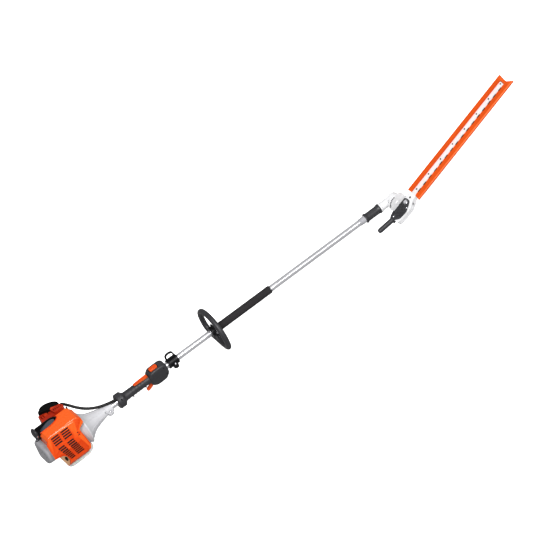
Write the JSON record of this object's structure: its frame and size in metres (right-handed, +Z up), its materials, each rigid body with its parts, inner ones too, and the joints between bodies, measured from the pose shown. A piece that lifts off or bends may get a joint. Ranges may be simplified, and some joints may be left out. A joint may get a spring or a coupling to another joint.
{
  "type": "pole hedge trimmer",
  "caption": "Petrol pole hedge trimmer with a tilting head, double-sided blades in a scabbard, loop handle, harness ring and rear engine.",
  "frame": {"origin": "middle of the footprint box, on the floor the tool lies on", "axes": "+X from engine to blades, +Z up, -Y the exhaust side"},
  "size_m": [2.3776, 0.218, 0.2634],
  "materials": {
    "shroud_orange": "glossy moulded plastic",
    "control_orange": "satin moulded plastic",
    "scabbard_orange": "satin moulded plastic",
    "filter_orange": "matt moulded plastic",
    "black_plastic": "fine grained moulded plastic",
    "grip_plastic": "soft-touch grip",
    "light_grey": "light grey paint on cast metal",
    "grey_plastic": "satin moulded plastic",
    "tank_plastic": "translucent blow-moulded plastic",
    "gloss_blue": "glossy dark blue-grey plastic",
    "cast_aluminium": "as cast",
    "tube_aluminium": "bright drawn tube",
    "steel": "machined",
    "blade_steel": "ground",
    "dark_steel": "heat-darkened",
    "black_rubber": "smooth",
    "foam": "closed-cell foam",
    "filter_media": "felt"
  },
  "bodies": {
    "root": {"crankcase": "cast_aluminium", "cylinder": "cast_aluminium", "engine_shroud": "shroud_orange", "muffler": "dark_steel", "ignition_module": "black_plastic", "spark_plug": "steel", "plug_boot": "black_rubber", "plug_cover": "gloss_blue", "fuel_tank": "tank_plastic", "starter_housing": "grey_plastic", "air_filter_base": "filter_orange", "air_filter_element": "filter_media", "carburetor": "cast_aluminium", "clutch_housing": "light_grey", "drum_bearing": "steel", "throttle_cable": "black_rubber", "drive_tube": "tube_aluminium", "tube_bush_rear": "black_rubber", "tube_bush_front": "black_rubber", "handle_half_near": "grip_plastic", "handle_half_far": "grip_plastic", "carry_ring": "black_plastic", "carry_ring_screw": "steel", "loop_handle": "grip_plastic", "loop_clamp": "black_plastic", "loop_bolt": "steel", "foam_sleeve": "foam", "tube_adapter": "grey_plastic", "joint_housing": "light_grey"},
    "crank": {"crankshaft": "steel", "flywheel": "cast_aluminium", "clutch_rotor": "steel", "starter_cup": "black_plastic"},
    "piston_and_rod": {"piston": "tube_aluminium", "connecting_rod": "steel"},
    "drive_line": {"clutch_drum": "steel", "drive_shaft": "steel"},
    "cross_gear": {"cross_shaft": "steel"},
    "pulley": {"starter_pulley": "black_plastic"},
    "grip": {"starter_grip": "black_plastic"},
    "trigger": {"throttle_trigger": "control_orange"},
    "lock": {"throttle_lock": "control_orange"},
    "button": {"stop_button": "control_orange"},
    "choke": {"choke_lever": "black_plastic"},
    "primer": {"primer_bulb": "black_rubber"},
    "cap": {"fuel_cap": "black_plastic"},
    "filter_cover": {"air_filter_cover": "black_plastic"},
    "sleeve": {"lock_sleeve": "black_plastic"},
    "head": {"gear_case_upper": "light_grey", "gear_case_lower": "light_grey", "quadrant": "light_grey", "gear_plate": "black_plastic", "plate_bolt": "steel", "adjusting_lever": "grip_plastic", "guide_bar": "blade_steel"},
    "transfer_gear": {"transfer_shaft": "steel"},
    "eccentric": {"eccentric_gear": "steel"},
    "upper_cutter": {"upper_blade": "blade_steel"},
    "lower_cutter": {"lower_blade": "blade_steel"},
    "blade_cover": {"scabbard": "scabbard_orange"}
  },
  "joints": [
    {"name": "crank_spin", "type": "hinge", "parent": "root", "child": "crank", "pos_m": [-1.05785, -0.009, 0.105], "axis": [0.9996, 0, -0.0284], "continuous": true},
    {"name": "piston_slide", "type": "slide", "parent": "root", "child": "piston_and_rod", "axis": [0.0284, 0, 0.9996], "range_m": [0, 0.024]},
    {"name": "drive_spin", "type": "hinge", "parent": "root", "child": "drive_line", "pos_m": [-0.15821, -0.009, 0.0794], "axis": [0.9996, 0, -0.0284], "continuous": true},
    {"name": "cross_spin", "type": "hinge", "parent": "root", "child": "cross_gear", "pos_m": [0.5605, -0.009, 0.05895], "axis": [0, 1, 0], "continuous": true},
    {"name": "starter_pull", "type": "slide", "parent": "root", "child": "grip", "axis": [0.0284, 0, 0.9996], "range_m": [0, 0.5], "stiffness_N_per_m": 20, "springref_m": -0.1},
    {"name": "pulley_spin", "type": "hinge", "parent": "root", "child": "pulley", "pos_m": [-1.1728, -0.009, 0.10827], "axis": [0.9996, 0, -0.0284], "range_deg": [-1, 960]},
    {"name": "trigger_pull", "type": "hinge", "parent": "root", "child": "trigger", "pos_m": [-0.65572, -0.009, 0.06855], "axis": [0, 1, 0], "range_deg": [0, 20], "stiffness_Nm_per_rad": 0.3, "springref_deg": -17.19},
    {"name": "lock_press", "type": "hinge", "parent": "root", "child": "lock", "pos_m": [-0.67046, -0.009, 0.11299], "axis": [0, -1, 0], "range_deg": [0, 4.5], "stiffness_Nm_per_rad": 0.5, "springref_deg": -11.46},
    {"name": "button_press", "type": "slide", "parent": "root", "child": "button", "axis": [-0.0284, 0, -0.9996], "range_m": [0, 0.0025], "stiffness_N_per_m": 400, "springref_m": -0.002},
    {"name": "choke_turn", "type": "hinge", "parent": "root", "child": "choke", "pos_m": [-0.99645, 0.065, 0.15327], "axis": [-0.9996, 0, 0.0284], "range_deg": [0, 75]},
    {"name": "primer_press", "type": "slide", "parent": "root", "child": "primer", "axis": [0.0284, 0, 0.9996], "range_m": [0, 0.003], "stiffness_N_per_m": 300, "springref_m": -0.002},
    {"name": "cap_turn", "type": "hinge", "parent": "root", "child": "cap", "pos_m": [-1.02996, 0.061, 0.03018], "axis": [0, 1, 0], "range_deg": [0, 540]},
    {"name": "filter_cover_off", "type": "slide", "parent": "root", "child": "filter_cover", "axis": [0, 1, 0], "range_m": [0, 0.08]},
    {"name": "sleeve_back", "type": "slide", "parent": "root", "child": "sleeve", "axis": [-0.9996, 0, 0.0284], "range_m": [0, 0.02], "stiffness_N_per_m": 400, "springref_m": -0.01},
    {"name": "head_tilt", "type": "hinge", "parent": "root", "child": "head", "pos_m": [0.5605, -0.009, 0.05895], "axis": [0, -1, 0], "range_deg": [-111, 33]},
    {"name": "transfer_spin", "type": "hinge", "parent": "head", "child": "transfer_gear", "pos_m": [0.57065, -0.037, 0.03072], "axis": [0, 1, 0], "continuous": true},
    {"name": "eccentric_spin", "type": "hinge", "parent": "head", "child": "eccentric", "pos_m": [0.57268, -0.063, 0.02507], "axis": [-0.3382, 0, 0.9411], "continuous": true},
    {"name": "upper_stroke", "type": "slide", "parent": "head", "child": "upper_cutter", "axis": [0.9411, 0, 0.3382], "range_m": [-0.0085, 0.0085]},
    {"name": "lower_stroke", "type": "slide", "parent": "head", "child": "lower_cutter", "axis": [0.9411, 0, 0.3382], "range_m": [-0.0085, 0.0085]},
    {"name": "scabbard_off", "type": "slide", "parent": "head", "child": "blade_cover", "axis": [0.9411, 0, 0.3382], "range_m": [0, 0.6]}
  ],
  "couplings": [
    {"joint": "cross_spin", "follows": "drive_spin", "ratio": -0.5},
    {"joint": "transfer_spin", "follows": "drive_spin", "ratio": 1.5441},
    {"joint": "eccentric_spin", "follows": "drive_spin", "ratio": -0.3716},
    {"joint": "pulley_spin", "follows": "starter_pull", "rad_per_m": 33.333},
    {"joint": "lower_stroke", "follows": "upper_stroke", "ratio": -1}
  ]
}
